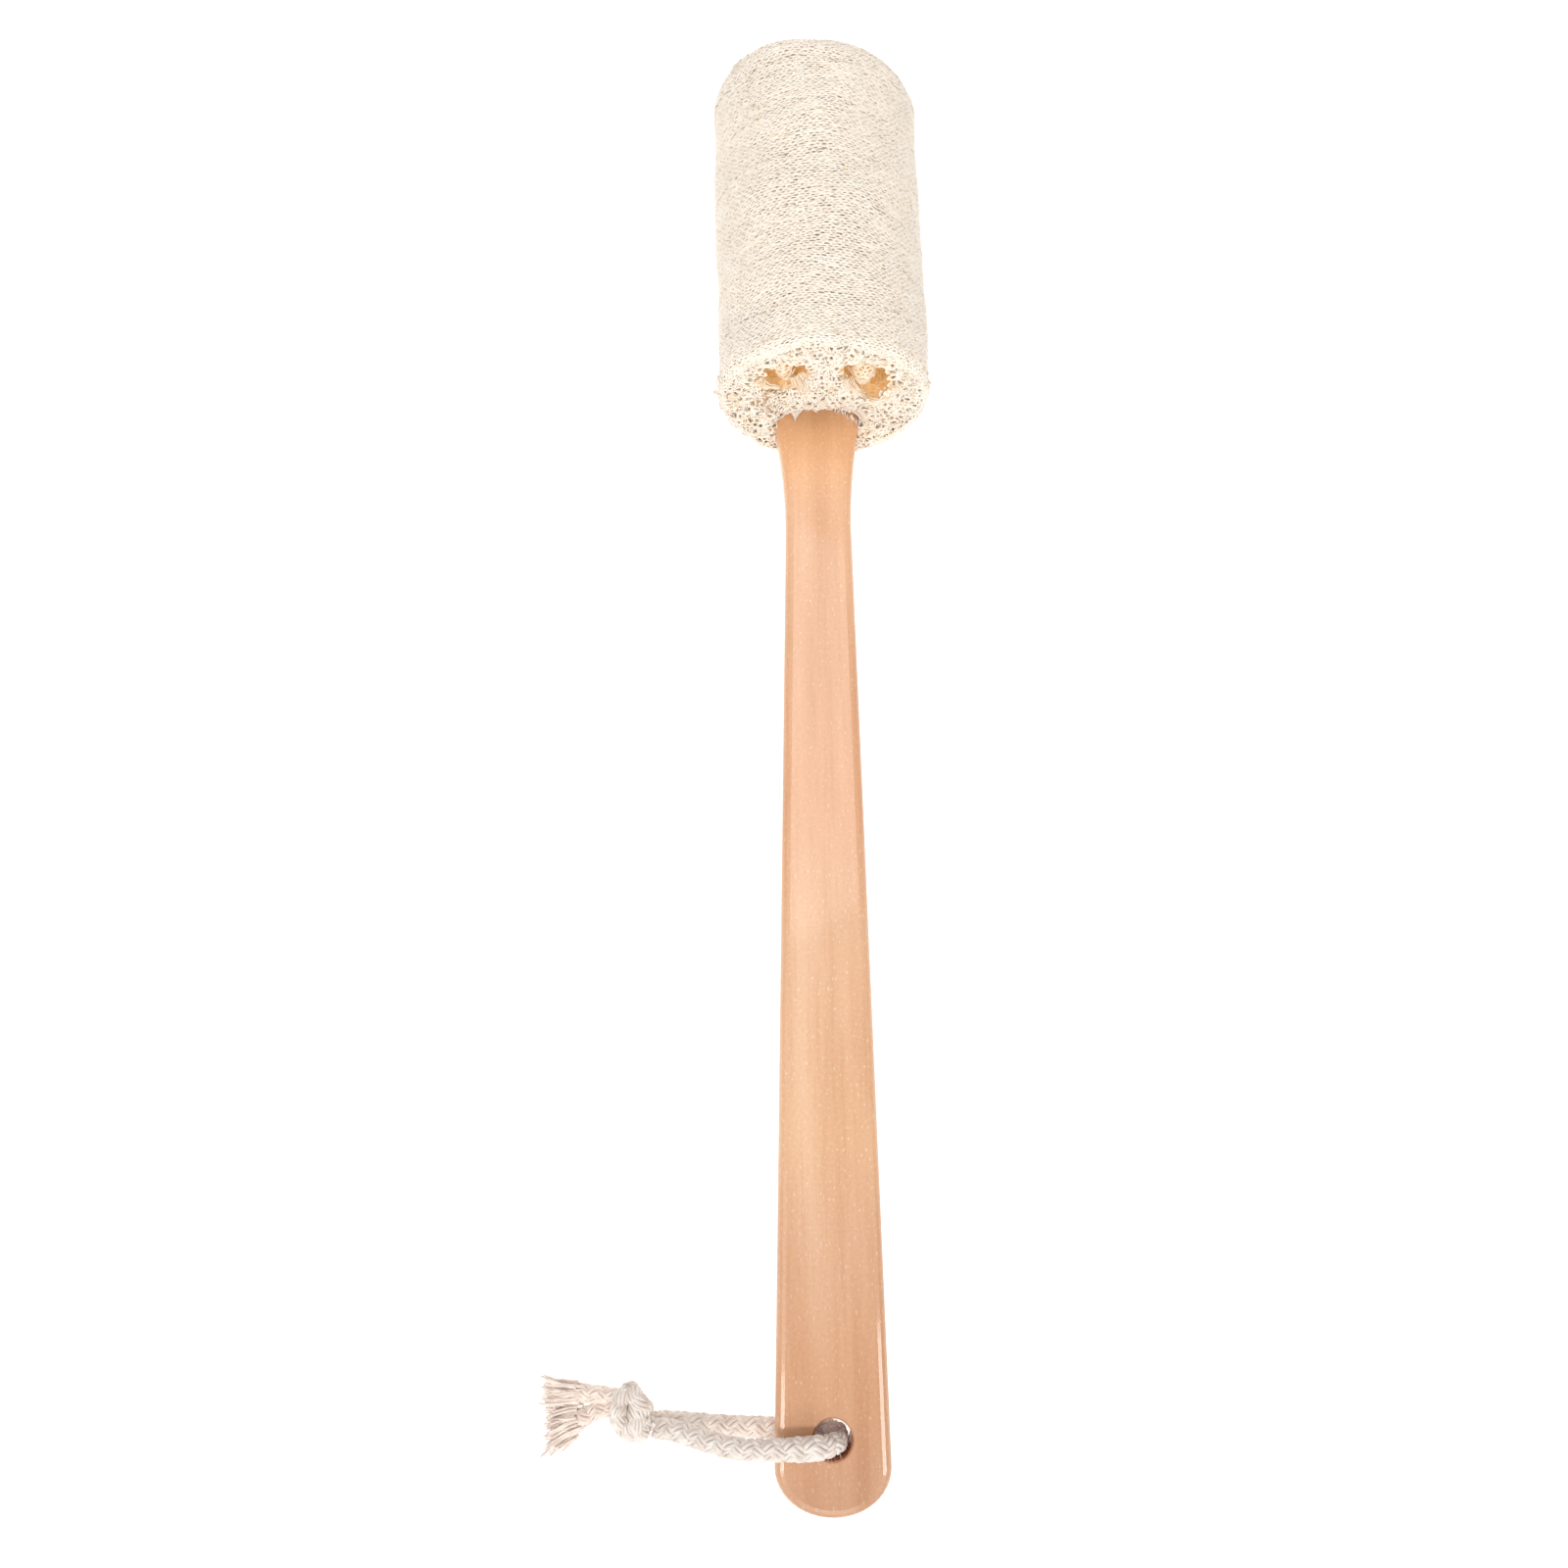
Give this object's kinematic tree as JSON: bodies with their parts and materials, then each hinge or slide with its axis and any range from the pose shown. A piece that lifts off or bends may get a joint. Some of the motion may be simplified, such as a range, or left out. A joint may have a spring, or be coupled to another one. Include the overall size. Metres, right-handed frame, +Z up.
{
  "type": "loofah back scrubber",
  "caption": "Long flat wooden handle pushed into a cylinder of natural loofah, with a knotted cotton cord loop through a hole in the handle's end, lying flat.",
  "frame": {"origin": "on the surface that the scrubber lies on, under the middle of its length and width", "axes": "+Y along the handle towards the loofah, +X across the handle, +Z up, out of the handle's upper face"},
  "size_m": [0.1102, 0.402, 0.0615],
  "materials": {
    "varnished_wood": "satin",
    "loofah_fibre": "matte",
    "cotton_cord": "matte",
    "glue": "satin"
  },
  "bodies": {
    "scrubber": {"handle": "varnished_wood", "glue_band": "glue", "loofah": "loofah_fibre"},
    "hanging_loop": {"cord_front_leg": "cotton_cord", "cord_back_leg": "cotton_cord", "cord_knot": "cotton_cord", "cord_tail_left": "cotton_cord", "cord_tail_right": "cotton_cord"}
  },
  "joints": [
    {"name": "loop_swing", "type": "hinge", "parent": "scrubber", "child": "hanging_loop", "pos_m": [0, -0.1818, 0.0115], "axis": [0, 0, 1], "range_deg": [-30, 210]}
  ]
}
